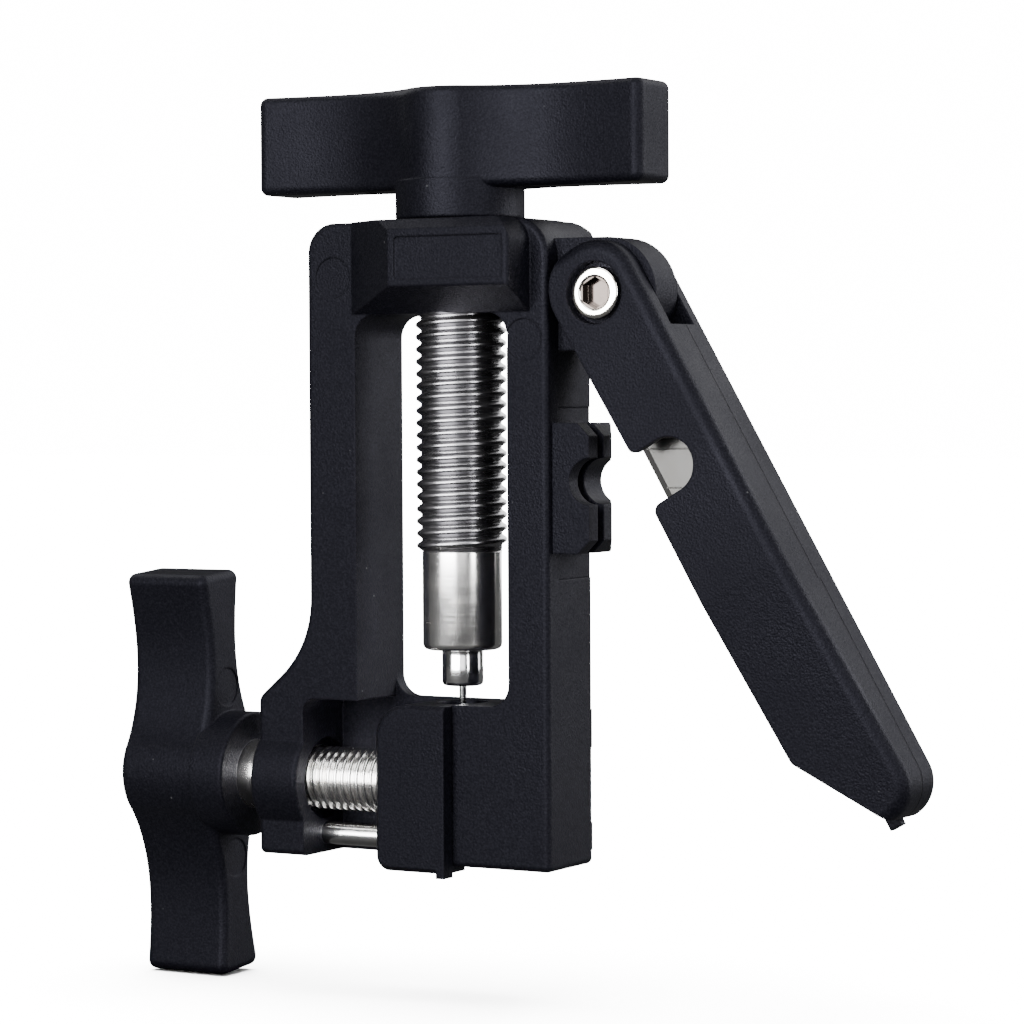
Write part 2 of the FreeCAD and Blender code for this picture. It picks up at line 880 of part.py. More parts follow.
def make_pivot_washers():
    """Two thin washers that fill the gap between the lug and the cheeks."""
    washers = []
    for side in (-1, 1):
        near, far = sorted((side * (lug_half + 0.02), side * (cheek_gap - 0.01)))
        washer = lever_rod(5.6, 0, 0, near, far)
        washers.append(washer.cut(lever_rod(pivot_barrel_radius, 0, 0, -10, 10)))
    return Part.makeCompound(washers)


def make_shell_screws():
    """Three self-tapping screws that hold the shells together, heads at the back."""
    screws = []
    for along, across in screw_spots:
        head = lever_rod(shell_head_radius, along, across, shell_head_seat, shell_head_seat + 1.3)
        head = head.makeFillet(0.4, edges_where(head, lambda at: at.y > shell_head_seat + 1.2))
        shank = lever_rod(shell_screw_radius, along, across, shell_screw_end, shell_head_seat)
        centre = lever_plane(0)(V(along, across, 0))
        recess = []
        for wide, tall in ((1.3, 0.3), (0.3, 1.3)):
            x_sides = (centre.x - wide, centre.x + wide)
            z_sides = (centre.z - tall, centre.z + tall)
            recess.append(block(*x_sides, shell_head_seat + 0.5, 10, *z_sides))
        screws.append(head.fuse(shank).cut(recess))
    return Part.makeCompound(screws)


# ---- export ----------------------------------------------------------------------------

nodes = {
    "frame_body": make_frame_body,
    "press_nut": make_press_nut,
    "clamp_nut": make_clamp_nut,
    "guide_pin": make_guide_pin,
    "cutting_anvil": make_anvil,
    "pivot_bush": make_pivot_bush,
    "press_screw": make_press_screw,
    "press_knob": make_press_knob,
    "needle_holder": make_needle_holder,
    "press_needle": make_press_needle,
    "needle_ring": make_needle_ring,
    "thrust_ball": make_thrust_ball,
    "clamp_screw": make_clamp_screw,
    "clamp_knob": make_clamp_knob,
    "clamp_jaw": make_jaw,
    "jaw_clip": make_jaw_clip,
    "lever_front_shell": make_front_shell,
    "lever_back_shell": make_back_shell,
    "cutter_blade": make_blade,
    "pivot_screw": make_pivot_screw,
    "pivot_nut": make_pivot_nut,
    "pivot_washers": make_pivot_washers,
    "shell_screws": make_shell_screws,
}

os.makedirs("parts", exist_ok=True)
for name, make in nodes.items():
    shape = make()
    shape.exportStep(f"parts/{name}.step")
    box = shape.BoundBox
    low = f"({box.XMin:.2f}, {box.YMin:.2f}, {box.ZMin:.2f})"
    high = f"({box.XMax:.2f}, {box.YMax:.2f}, {box.ZMax:.2f})"
    print(name, "solids", len(shape.Solids), "valid", shape.isValid(), low, high)
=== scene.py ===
import bpy
import json
import math
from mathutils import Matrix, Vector


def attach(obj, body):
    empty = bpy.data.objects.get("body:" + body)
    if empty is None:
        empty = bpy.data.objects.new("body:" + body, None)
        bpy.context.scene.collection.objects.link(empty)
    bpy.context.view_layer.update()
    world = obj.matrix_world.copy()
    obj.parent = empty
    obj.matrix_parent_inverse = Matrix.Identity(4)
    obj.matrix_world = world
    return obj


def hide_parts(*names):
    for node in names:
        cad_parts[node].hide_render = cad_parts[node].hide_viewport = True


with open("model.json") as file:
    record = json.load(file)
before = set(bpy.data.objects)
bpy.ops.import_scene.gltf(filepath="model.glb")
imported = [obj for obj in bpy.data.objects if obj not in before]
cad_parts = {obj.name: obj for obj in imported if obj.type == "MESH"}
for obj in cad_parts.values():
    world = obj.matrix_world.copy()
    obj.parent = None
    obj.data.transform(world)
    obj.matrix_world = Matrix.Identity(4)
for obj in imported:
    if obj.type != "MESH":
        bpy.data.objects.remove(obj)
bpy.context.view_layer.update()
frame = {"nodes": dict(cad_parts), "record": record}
bpy.ops.object.select_all(action="DESELECT")
print("stage: frame loaded,", len(frame["nodes"]), "nodes")

mm = 0.001
leverPivot = (0.0236, 0, 0.0753)

# helpers that shape meshes


def pickVerts(obj, test):
    # edit mode keeps its own copy, so the choice is made in object mode
    bpy.ops.object.mode_set(mode="OBJECT")
    for polygon in obj.data.polygons:
        polygon.select = False
    for edge in obj.data.edges:
        edge.select = False
    for vert in obj.data.vertices:
        vert.select = test(vert)
    bpy.ops.object.mode_set(mode="EDIT")


def turnPiece(name, profile, segments):
    # a lathe piece along Z from (radius, height) in millimetres, closed at both ends
    radius, height = profile[0]
    bpy.ops.mesh.primitive_circle_add(vertices=segments, radius=radius * mm, location=(0, 0, height * mm))
    obj = bpy.context.object
    obj.name = name
    bpy.ops.object.transform_apply(location=True, rotation=True, scale=True)
    bpy.ops.object.mode_set(mode="EDIT")
    bpy.ops.mesh.select_mode(type="VERT")
    bpy.ops.mesh.select_all(action="SELECT")
    bpy.ops.mesh.edge_face_add()
    for nextRadius, nextHeight in profile[1:]:
        rise = (nextHeight - height) * mm
        bpy.ops.mesh.extrude_region_move(TRANSFORM_OT_translate={"value": (0, 0, rise)})
        grow = nextRadius / radius
        bpy.ops.transform.resize(value=(grow, grow, 1), center_override=(0, 0, nextHeight * mm))
        radius, height = nextRadius, nextHeight
    bpy.ops.mesh.select_all(action="SELECT")
    bpy.ops.mesh.remove_doubles(threshold=1e-7)
    bpy.ops.mesh.normals_make_consistent(inside=False)
    bpy.ops.object.mode_set(mode="OBJECT")
    return obj


def threadRidge(name, look):
    # one rolled ridge, wound up the axis by a Screw modifier and faded out at its lower end
    pitch = look["pitch"]
    root, crest = look["root"] - 0.15, look["crest"]
    width = 0.94 * pitch
    bpy.ops.mesh.primitive_plane_add(size=1, rotation=(math.pi / 2, 0, 0))
    obj = bpy.context.object
    obj.name = name
    obj.dimensions = ((crest - root) * mm, width * mm, 0)
    obj.location = ((root + crest) / 2 * mm, 0, (look["from"] + pitch / 2) * mm)
    bpy.ops.object.transform_apply(location=True, rotation=True, scale=True)
    middle = (root + crest) / 2 * mm
    pickVerts(obj, lambda vert: vert.co.x > middle)
    ridgeCentre = (0, 0, (look["from"] + pitch / 2) * mm)
    bpy.ops.transform.resize(value=(1, 1, look["crestWidth"]), center_override=ridgeCentre)
    bpy.ops.mesh.bevel(offset=look["crestRound"] * mm, segments=2, affect="VERTICES")
    bpy.ops.mesh.select_all(action="SELECT")
    bpy.ops.mesh.delete(type="ONLY_FACE")
    bpy.ops.object.mode_set(mode="OBJECT")
    ringCount = len(obj.data.vertices)
    turns = look["turns"]
    winding = obj.modifiers.new("winding", "SCREW")
    winding.axis = "Z"
    winding.steps = look["steps"]
    winding.render_steps = look["steps"]
    winding.iterations = turns
    winding.screw_offset = (look["to"] - look["from"] - pitch) / turns * mm
    winding.use_smooth_shade = True
    bpy.ops.object.modifier_apply(modifier="winding")
    fade = look["steps"] // 3
    for step in range(fade):
        shrink = (root - 0.1 + (crest - root) * step / fade) / crest
        height = obj.data.vertices[step * ringCount].co.z
        pickVerts(obj, lambda vert: step * ringCount <= vert.index < (step + 1) * ringCount)
        bpy.ops.transform.resize(value=(shrink, shrink, 1), center_override=(0, 0, height))
    bpy.ops.mesh.select_all(action="SELECT")
    bpy.ops.mesh.fill_holes(sides=0)
    bpy.ops.mesh.select_all(action="SELECT")
    bpy.ops.mesh.normals_make_consistent(inside=False)
    bpy.ops.object.mode_set(mode="OBJECT")
    return obj


def joinPieces(first, *others):
    bpy.ops.object.select_all(action="DESELECT")
    for obj in (first,) + others:
        obj.select_set(True)
    bpy.context.view_layer.objects.active = first
    bpy.ops.object.join()
    return first


def laySideways(obj, turn, place):
    # turns a lathe piece off the Z axis, then settles it into its own mesh
    bpy.ops.object.select_all(action="DESELECT")
    obj.select_set(True)
    bpy.context.view_layer.objects.active = obj
    obj.rotation_euler = turn
    obj.location = place
    bpy.ops.object.transform_apply(location=True, rotation=True, scale=True)


def settle(obj, body, slotName, *nodes):
    bpy.ops.object.select_all(action="DESELECT")
    obj.select_set(True)
    bpy.context.view_layer.objects.active = obj
    bpy.ops.object.shade_smooth_by_angle(angle=math.radians(32))
    bpy.ops.object.select_all(action="DESELECT")
    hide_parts(*nodes)
    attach(obj, body)
    return obj


# press screw

pressThread = {
    "root": 5.36,
    "crest": 6.02,
    "pitch": 1.6333,
    "from": 40.5,
    "to": 84.6,
    "turns": 26,
    "steps": 56,
    "crestWidth": 0.26,
    "crestRound": 0.12,
}
pressRod = {
    "profile": [
        (1.57, 38.55), (1.57, 33.22), (2.1, 33.2), (2.1, 32.3), (1.57, 32.28), (1.57, 28.4),
        (4.55, 28.4), (4.95, 28.52), (5.2, 28.8), (5.3, 29.2), (5.3, 41.45), (5.22, 41.5),
        (5.36, 41.9), (5.36, 85.2), (5.95, 85.3), (6.0, 85.45), (6.0, 88.35), (4.95, 88.4), (4.95, 99.0),
        (4.6, 99.35),
    ],
    "segments": 96,
}


def makePressScrew():
    rod = turnPiece("pressScrewTurned", pressRod["profile"], pressRod["segments"])
    ridge = threadRidge("pressScrewThread", pressThread)
    return settle(joinPieces(rod, ridge), "press_spindle", "screw_steel", "press_screw")


# clamp screw, turned upright and then laid along X

clampThread = {
    "root": 3.74,
    "crest": 4.33,
    "pitch": 1.1361,
    "from": -29.4,
    "to": -9.0,
    "turns": 17,
    "steps": 44,
    "crestWidth": 0.24,
    "crestRound": 0.06,
}
clampRod = {
    "profile": [
        (3.6, -46.3), (3.9, -46.0), (3.9, -36.5), (4.55, -36.5), (4.7, -36.35), (4.7, -29.65),
        (4.55, -29.5),
        (3.74, -29.45), (3.74, -8.97), (2.5, -8.95), (2.5, -7.16), (1.9, -7.15), (1.9, -6.15), (2.5, -6.14),
        (2.5, -4.5), (2.1, -4.1),
    ],
    "segments": 72,
    "height": 10.1,
}


def makeClampScrew():
    rod = turnPiece("clampScrewTurned", clampRod["profile"], clampRod["segments"])
    ridge = threadRidge("clampScrewThread", clampThread)
    screw = joinPieces(rod, ridge)
    laySideways(screw, (0, math.pi / 2, 0), (0, 0, clampRod["height"] * mm))
    return settle(screw, "clamp_spindle", "screw_steel", "clamp_screw")


# needle holder and needle

holder = {
    "profile": [
        (0.5, 30.95), (0.5, 23.62), (0.56, 23.56), (2.1, 23.56), (2.45, 23.64), (2.66, 23.82), (2.75, 24.1),
        (2.75, 28.1), (2.62, 28.34), (1.5, 28.35), (1.5, 32.4), (1.2, 32.41), (1.2, 33.09), (1.5, 33.1),
        (1.5, 35.45),
    ],
    "segments": 72,
}
needle = {
    "profile": [(0.1, 19.82), (0.3, 19.9), (0.42, 20.15), (0.47, 20.5), (0.49, 23.5), (0.49, 30.9)],
    "segments": 32,
}


def makeNeedleHolder():
    nose = turnPiece("needleHolderTurned", holder["profile"], holder["segments"])
    return settle(nose, "needle_carriage", "ground_steel", "needle_holder")


def makeNeedle():
    pin = turnPiece("pressNeedleGround", needle["profile"], needle["segments"])
    return settle(pin, "needle_carriage", "ground_steel", "press_needle")


# socket-head pivot screw

pivotHead = {
    "profile": [
        (2.0, -3.4), (2.0, 4.2), (3.35, 4.2), (3.42, 4.27), (3.42, 5.8), (3.37, 5.98), (3.25, 6.1),
        (3.05, 6.17),
        (2.75, 6.19), (2.36, 6.19), (2.22, 6.1), (2.1, 5.95),
    ],
    "segments": 72,
    "face": 6.19,
    "socketFlats": 3.6,
    "socketDepth": 1.7,
}


def makePivotScrew():
    screw = turnPiece("pivotScrewSocket", pivotHead["profile"], pivotHead["segments"])
    flats, depth = pivotHead["socketFlats"], pivotHead["socketDepth"]
    bpy.ops.mesh.primitive_cylinder_add(
        vertices=6,
        radius=flats / math.sqrt(3) * mm,
        depth=depth * 2 * mm,
        location=(0, 0, pivotHead["face"] * mm),
    )
    key = bpy.context.object
    bpy.context.view_layer.objects.active = screw
    hollow = screw.modifiers.new("hexSocket", "BOOLEAN")
    hollow.operation = "DIFFERENCE"
    hollow.solver = "EXACT"
    hollow.object = key
    bpy.ops.object.modifier_apply(modifier="hexSocket")
    bpy.data.objects.remove(key, do_unlink=True)
    laySideways(screw, (math.pi / 2, 0, 0), leverPivot)
    return settle(screw, "cutting_lever", "bright_chrome", "pivot_screw")


pressScrew = makePressScrew()
clampScrew = makeClampScrew()
needleHolder = makeNeedleHolder()
pressNeedle = makeNeedle()
pivotScrew = makePivotScrew()
print("stage: turned pieces modelled")

# helpers that build nodes


def addNode(tree, kind, **settings):
    node = tree.nodes.new(kind)
    for key, value in settings.items():
        if key in node.inputs:
            node.inputs[key].default_value = value
        else:
            setattr(node, key, value)
    return node


def mixColours(tree, mask, first, second):
    mix = addNode(tree, "ShaderNodeMix", data_type="RGBA")
    tree.links.new(mask, mix.inputs["Factor"])
    for slotName, value in (("A", first), ("B", second)):
        socket = [s for s in mix.inputs if s.name == slotName and s.type == "RGBA"][0]
        if isinstance(value, tuple):
            socket.default_value = value
        else:
            tree.links.new(value, socket)
    return [s for s in mix.outputs if s.type == "RGBA"][0]


def remap(tree, value, low, high, outLow, outHigh):
    node = addNode(tree, "ShaderNodeMapRange")
    node.inputs["From Min"].default_value = low
    node.inputs["From Max"].default_value = high
    node.inputs["To Min"].default_value = outLow
    node.inputs["To Max"].default_value = outHigh
    tree.links.new(value, node.inputs["Value"])
    return node.outputs["Result"]


def sumOf(tree, first, second):
    node = addNode(tree, "ShaderNodeMath", operation="ADD")
    tree.links.new(first, node.inputs[0])
    tree.links.new(second, node.inputs[1])
    return node.outputs[0]


def newGroup(name, inputs, outputs):
    group = bpy.data.node_groups.new(name, "ShaderNodeTree")
    for socketName, default in inputs:
        kind = "NodeSocketVector" if isinstance(default, tuple) else "NodeSocketFloat"
        socket = group.interface.new_socket(socketName, in_out="INPUT", socket_type=kind)
        socket.default_value = default
    for socketName in outputs:
        group.interface.new_socket(socketName, in_out="OUTPUT", socket_type="NodeSocketFloat")
    entry = group.nodes.new("NodeGroupInput")
    leave = group.nodes.new("NodeGroupOutput")
    return group, entry, leave


def placeGroup(tree, group, **values):
    node = tree.nodes.new("ShaderNodeGroup")
    node.node_tree = group
    for key, value in values.items():
        node.inputs[key].default_value = value
    return node


def noiseAt(tree, scale, detail=3.0):
    # noise on Object coordinates, which are metres
    place = addNode(tree, "ShaderNodeTexCoord").outputs["Object"]
    noise = addNode(tree, "ShaderNodeTexNoise", Scale=scale, Detail=detail)
    tree.links.new(place, noise.inputs["Vector"])
    return noise.outputs["Fac"]


# effects that several materials share


def makeMouldGrain():
    # spark-eroded grain: fine pits, speckled colour, a slow cloud of gloss and rare pale specks of dust
    outputs = ["Height", "Speckle", "Cloud", "Dust"]
    group, entry, leave = newGroup("mouldGrain", [("Scale", 2600.0)], outputs)
    place = addNode(group, "ShaderNodeTexCoord")
    fine = addNode(group, "ShaderNodeTexNoise", Detail=3.0, Roughness=0.62)
    group.links.new(place.outputs["Object"], fine.inputs["Vector"])
    group.links.new(entry.outputs["Scale"], fine.inputs["Scale"])
    pits = addNode(group, "ShaderNodeTexVoronoi", feature="SMOOTH_F1", Smoothness=0.6)
    group.links.new(place.outputs["Object"], pits.inputs["Vector"])
    group.links.new(entry.outputs["Scale"], pits.inputs["Scale"])
    both = addNode(group, "ShaderNodeMath", operation="MULTIPLY_ADD")
    both.inputs[1].default_value = 0.55
    group.links.new(pits.outputs["Distance"], both.inputs[0])
    group.links.new(fine.outputs["Fac"], both.inputs[2])
    group.links.new(both.outputs[0], leave.inputs["Height"])
    group.links.new(remap(group, fine.outputs["Fac"], 0.42, 0.68, 0.0, 1.0), leave.inputs["Speckle"])
    group.links.new(noiseAt(group, 90.0, 4.0), leave.inputs["Cloud"])
    specks = addNode(group, "ShaderNodeTexVoronoi", Scale=260.0)
    group.links.new(place.outputs["Object"], specks.inputs["Vector"])
    near = remap(group, specks.outputs["Distance"], 0.045, 0.02, 0.0, 1.0)
    rare = remap(group, noiseAt(group, 55.0, 1.0), 0.56, 0.60, 0.0, 1.0)
    dust = addNode(group, "ShaderNodeMath", operation="MULTIPLY", use_clamp=True)
    group.links.new(near, dust.inputs[0])
    group.links.new(rare, dust.inputs[1])
    group.links.new(dust.outputs[0], leave.inputs["Dust"])
    return group


def makeEdgeWear():
    # a mask that is bright along edges, broken up by noise
    group, entry, leave = newGroup("edgeWear", [("Radius", 0.0005), ("Strength", 6.0)], ["Mask"])
    rounded = addNode(group, "ShaderNodeBevel", samples=4)
    group.links.new(entry.outputs["Radius"], rounded.inputs["Radius"])
    flat = addNode(group, "ShaderNodeNewGeometry")
    dot = addNode(group, "ShaderNodeVectorMath", operation="DOT_PRODUCT")
    group.links.new(rounded.outputs["Normal"], dot.inputs[0])
    group.links.new(flat.outputs["Normal"], dot.inputs[1])
    bend = addNode(group, "ShaderNodeMath", operation="SUBTRACT")
    bend.inputs[0].default_value = 1.0
    group.links.new(dot.outputs["Value"], bend.inputs[1])
    strong = addNode(group, "ShaderNodeMath", operation="MULTIPLY")
    group.links.new(bend.outputs[0], strong.inputs[0])
    group.links.new(entry.outputs["Strength"], strong.inputs[1])
    patchy = remap(group, noiseAt(group, 420.0), 0.35, 0.65, 0.35, 1.0)
    mask = addNode(group, "ShaderNodeMath", operation="MULTIPLY", use_clamp=True)
    group.links.new(strong.outputs[0], mask.inputs[0])
    group.links.new(patchy, mask.inputs[1])
    group.links.new(mask.outputs[0], leave.inputs["Mask"])
    return group


def makeToolLines():
    # fine lines left by turning or grinding, and smudges from handling; Stretch runs them along an axis
    inputs = [("Stretch", (1.0, 1.0, 1.0)), ("Scale", 900.0)]
    group, entry, leave = newGroup("toolLines", inputs, ["Lines", "Smudge"])
    place = addNode(group, "ShaderNodeTexCoord")
    mapping = addNode(group, "ShaderNodeMapping")
    group.links.new(place.outputs["Object"], mapping.inputs["Vector"])
    group.links.new(entry.outputs["Stretch"], mapping.inputs["Scale"])
    lines = addNode(group, "ShaderNodeTexNoise", Detail=4.0, Roughness=0.7)
    group.links.new(mapping.outputs["Vector"], lines.inputs["Vector"])
    group.links.new(entry.outputs["Scale"], lines.inputs["Scale"])
    group.links.new(lines.outputs["Fac"], leave.inputs["Lines"])
    group.links.new(noiseAt(group, 210.0, 5.0), leave.inputs["Smudge"])
    return group


def makePartingLine():
    # the dark seam between the lever's halves, which steps sideways part of the way along
    inputs = [("Split", 0.0008), ("Stepped", 0.0014), ("StepStart", 0.046), ("Pivot", (0.0, 0.0, 0.0))]
    group, entry, leave = newGroup("partingLine", inputs, ["Mask"])
    place = addNode(group, "ShaderNodeTexCoord")
    fromPivot = addNode(group, "ShaderNodeVectorMath", operation="SUBTRACT")
    group.links.new(place.outputs["Object"], fromPivot.inputs[0])
    group.links.new(entry.outputs["Pivot"], fromPivot.inputs[1])
    reach = addNode(group, "ShaderNodeVectorMath", operation="LENGTH")
    group.links.new(fromPivot.outputs["Vector"], reach.inputs[0])
    beyond = addNode(group, "ShaderNodeMath", operation="GREATER_THAN")
    group.links.new(reach.outputs["Value"], beyond.inputs[0])
    group.links.new(entry.outputs["StepStart"], beyond.inputs[1])
    seam = addNode(group, "ShaderNodeMix", data_type="FLOAT")
    group.links.new(beyond.outputs[0], seam.inputs["Factor"])
    group.links.new(entry.outputs["Split"], seam.inputs[2])
    group.links.new(entry.outputs["Stepped"], seam.inputs[3])
    axes = addNode(group, "ShaderNodeSeparateXYZ")
    group.links.new(place.outputs["Object"], axes.inputs["Vector"])
    away = addNode(group, "ShaderNodeMath", operation="SUBTRACT")
    group.links.new(axes.outputs["Y"], away.inputs[0])
    group.links.new(seam.outputs[0], away.inputs[1])
    distance = addNode(group, "ShaderNodeMath", operation="ABSOLUTE")
    group.links.new(away.outputs[0], distance.inputs[0])
    group.links.new(remap(group, distance.outputs[0], 0.00018, 0.00008, 0.0, 1.0), leave.inputs["Mask"])
    return group


def makeZone():
    # marks the part of a piece between two distances from a point, seen along the axes that Along keeps
    inputs = [("Point", (0.0, 0.0, 0.0)), ("Along", (1.0, 1.0, 1.0)), ("Clear", 0.0), ("Full", 0.001)]
    group, entry, leave = newGroup("zone", inputs, ["Mask"])
    place = addNode(group, "ShaderNodeTexCoord")
    offset = addNode(group, "ShaderNodeVectorMath", operation="SUBTRACT")
    group.links.new(place.outputs["Object"], offset.inputs[0])
    group.links.new(entry.outputs["Point"], offset.inputs[1])
    kept = addNode(group, "ShaderNodeVectorMath", operation="MULTIPLY")
    group.links.new(offset.outputs["Vector"], kept.inputs[0])
    group.links.new(entry.outputs["Along"], kept.inputs[1])
    reach = addNode(group, "ShaderNodeVectorMath", operation="LENGTH")
    group.links.new(kept.outputs["Vector"], reach.inputs[0])
    mask = addNode(group, "ShaderNodeMapRange")
    group.links.new(reach.outputs["Value"], mask.inputs["Value"])
    group.links.new(entry.outputs["Clear"], mask.inputs["From Min"])
    group.links.new(entry.outputs["Full"], mask.inputs["From Max"])
    group.links.new(mask.outputs["Result"], leave.inputs["Mask"])
    return group


mouldGrain = makeMouldGrain()
edgeWear = makeEdgeWear()
toolLines = makeToolLines()
partingLine = makePartingLine()
zone = makeZone()

# materials

nylonLook = {
    "dark": (0.0020, 0.0020, 0.0052, 1.0),
    "light": (0.0160, 0.0160, 0.0230, 1.0),
    "worn": (0.020, 0.020, 0.027, 1.0),
    "seam": (0.0005, 0.0005, 0.0008, 1.0),
    "seamDepth": 6.0,
    "dust": (0.16, 0.16, 0.17, 1.0),
    "sheenTint": (0.80, 0.80, 1.0, 1.0),
    "roughness": (0.40, 0.56),
    "grainScale": 3600.0,
    "grainDepth": 0.00008,
    "edgeRound": 0.00035,
    "wearWidth": 0.00049,
    "wearStrength": 2.6,
}


def makeNylon(name, look, seam=None):
    material = bpy.data.materials.new(name)
    material.use_nodes = True
    tree = material.node_tree
    shader = tree.nodes["Principled BSDF"]
    shader.inputs["IOR"].default_value = 1.5
    shader.inputs["Specular IOR Level"].default_value = 0.42
    shader.inputs["Specular Tint"].default_value = look["sheenTint"]
    grain = placeGroup(tree, mouldGrain, Scale=look["grainScale"])
    wear = placeGroup(tree, edgeWear, Radius=look["wearWidth"], Strength=look["wearStrength"])
    body = mixColours(tree, grain.outputs["Speckle"], look["dark"], look["light"])
    body = mixColours(tree, wear.outputs["Mask"], body, look["worn"])
    body = mixColours(tree, grain.outputs["Dust"], body, look["dust"])
    height = grain.outputs["Height"]
    if seam:
        line = placeGroup(tree, partingLine, **seam).outputs["Mask"]
        body = mixColours(tree, line, body, look["seam"])
        height = sumOf(tree, height, remap(tree, line, 0, 1, 0, -look["seamDepth"]))
    tree.links.new(body, shader.inputs["Base Color"])
    gloss = remap(tree, grain.outputs["Cloud"], 0.3, 0.7, *look["roughness"])
    tree.links.new(gloss, shader.inputs["Roughness"])
    rounded = addNode(tree, "ShaderNodeBevel", samples=4, Radius=look["edgeRound"])
    bump = addNode(tree, "ShaderNodeBump", Strength=0.7, Distance=look["grainDepth"])
    tree.links.new(height, bump.inputs["Height"])
    tree.links.new(rounded.outputs["Normal"], bump.inputs["Normal"])
    tree.links.new(bump.outputs["Normal"], shader.inputs["Normal"])
    return material


metalLooks = {
    "pressSteel": {
        "colour": (0.70, 0.69, 0.68, 1),
        "stained": (0.50, 0.47, 0.43, 1),
        "roughness": (0.13, 0.30),
        "stretch": (0.03, 0.03, 1.0),
        "lineScale": 5200.0,
        "lineDepth": 0.000003,
    },
    "clampSteel": {
        "colour": (0.68, 0.67, 0.66, 1),
        "stained": (0.46, 0.43, 0.38, 1),
        "roughness": (0.14, 0.32),
        "stretch": (1.0, 0.03, 0.03),
        "lineScale": 5200.0,
        "lineDepth": 0.000003,
    },
    "groundSteel": {
        "colour": (0.74, 0.74, 0.75, 1),
        "stained": (0.58, 0.57, 0.55, 1),
        "roughness": (0.07, 0.18),
        "stretch": (0.02, 0.02, 1.0),
        "lineScale": 6400.0,
        "lineDepth": 0.0000012,
    },
    "pinSteel": {
        "colour": (0.70, 0.70, 0.70, 1),
        "stained": (0.52, 0.50, 0.47, 1),
        "roughness": (0.12, 0.26),
        "stretch": (1.0, 0.02, 0.02),
        "lineScale": 5200.0,
        "lineDepth": 0.000002,
    },
    "zincSteel": {
        "colour": (0.55, 0.56, 0.58, 1),
        "stained": (0.44, 0.44, 0.42, 1),
        "roughness": (0.28, 0.42),
        "stretch": (1.0, 1.0, 1.0),
        "lineScale": 900.0,
        "lineDepth": 0.000004,
    },
    "springSteel": {
        "colour": (0.16, 0.16, 0.17, 1),
        "stained": (0.10, 0.09, 0.08, 1),
        "roughness": (0.28, 0.42),
        "stretch": (1.0, 1.0, 1.0),
        "lineScale": 1400.0,
        "lineDepth": 0.000002,
    },
    "bladeSteel": {
        "colour": (0.66, 0.65, 0.63, 1),
        "stained": (0.50, 0.48, 0.44, 1),
        "roughness": (0.16, 0.30),
        "stretch": (0.9, 1.0, 0.05),
        "lineScale": 4200.0,
        "lineDepth": 0.0000025,
    },
    "brightNickel": {
        "colour": (0.80, 0.77, 0.72, 1),
        "stained": (0.60, 0.55, 0.48, 1),
        "roughness": (0.06, 0.20),
        "stretch": (1.0, 0.05, 1.0),
        "lineScale": 1500.0,
        "lineDepth": 0.0000015,
    },
    "blackOxide": {
        "colour": (0.040, 0.040, 0.044, 1),
        "stained": (0.10, 0.09, 0.08, 1),
        "roughness": (0.26, 0.44),
        "stretch": (1.0, 1.0, 1.0),
        "lineScale": 1600.0,
        "lineDepth": 0.000002,
    },
}


# painted shade for one part of a piece, a darker colour standing for the shade that falls there: colour,
# added roughness, then the zone that has it
metalShadeZones = {
    # the threaded length and what lies above it are painted darker, a painted shade for the shade in the
    # thread's grooves
    "pressSteel": (
        (0.19, 0.187, 0.196, 1),
        0.08,
        {"Point": (0, 0, 0), "Along": (0, 0, 1), "Clear": 0.0414, "Full": 0.0416},
    ),
    # the hex socket is painted dark, a painted shade for the shade inside the recess
    "brightNickel": (
        (0.048, 0.040, 0.036, 1),
        0.04,
        {"Point": leverPivot, "Along": (1, 0, 1), "Clear": 0.00222, "Full": 0.00212},
    ),
}


def makeMetal(name, look):
    material = bpy.data.materials.new(name)
    material.use_nodes = True
    tree = material.node_tree
    shader = tree.nodes["Principled BSDF"]
    shader.inputs["Metallic"].default_value = 1.0
    marks = placeGroup(tree, toolLines, Stretch=look["stretch"], Scale=look["lineScale"])
    stain = remap(tree, marks.outputs["Smudge"], 0.52, 0.72, 0.0, 0.75)
    body = mixColours(tree, stain, look["colour"], look["stained"])
    low, high = look["roughness"]
    polish = remap(tree, marks.outputs["Lines"], 0.3, 0.7, low, (low + high) / 2)
    dull = remap(tree, marks.outputs["Smudge"], 0.40, 0.68, 0.0, (high - low) / 2)
    gloss = sumOf(tree, polish, dull)
    # painted shade: the zone's part of the piece gets the darker colour and more roughness
    if name in metalShadeZones:
        paintedShadeColour, zoneDull, zonePlace = metalShadeZones[name]
        shadedPart = placeGroup(tree, zone, **zonePlace).outputs["Mask"]
        body = mixColours(tree, shadedPart, body, paintedShadeColour)
        gloss = sumOf(tree, gloss, remap(tree, shadedPart, 0, 1, 0, zoneDull))
    tree.links.new(body, shader.inputs["Base Color"])
    tree.links.new(gloss, shader.inputs["Roughness"])
    rounded = addNode(tree, "ShaderNodeBevel", samples=4, Radius=0.00012)
    bump = addNode(tree, "ShaderNodeBump", Strength=0.5, Distance=look["lineDepth"])
    tree.links.new(marks.outputs["Lines"], bump.inputs["Height"])
    tree.links.new(rounded.outputs["Normal"], bump.inputs["Normal"])
    tree.links.new(bump.outputs["Normal"], shader.inputs["Normal"])
    return material


washerLook = {
    "pale": (0.62, 0.60, 0.55, 1),
    "stained": (0.42, 0.39, 0.33, 1),
    "roughness": (0.40, 0.58),
    "grainScale": 3000.0,
    "grainDepth": 0.00002,
}


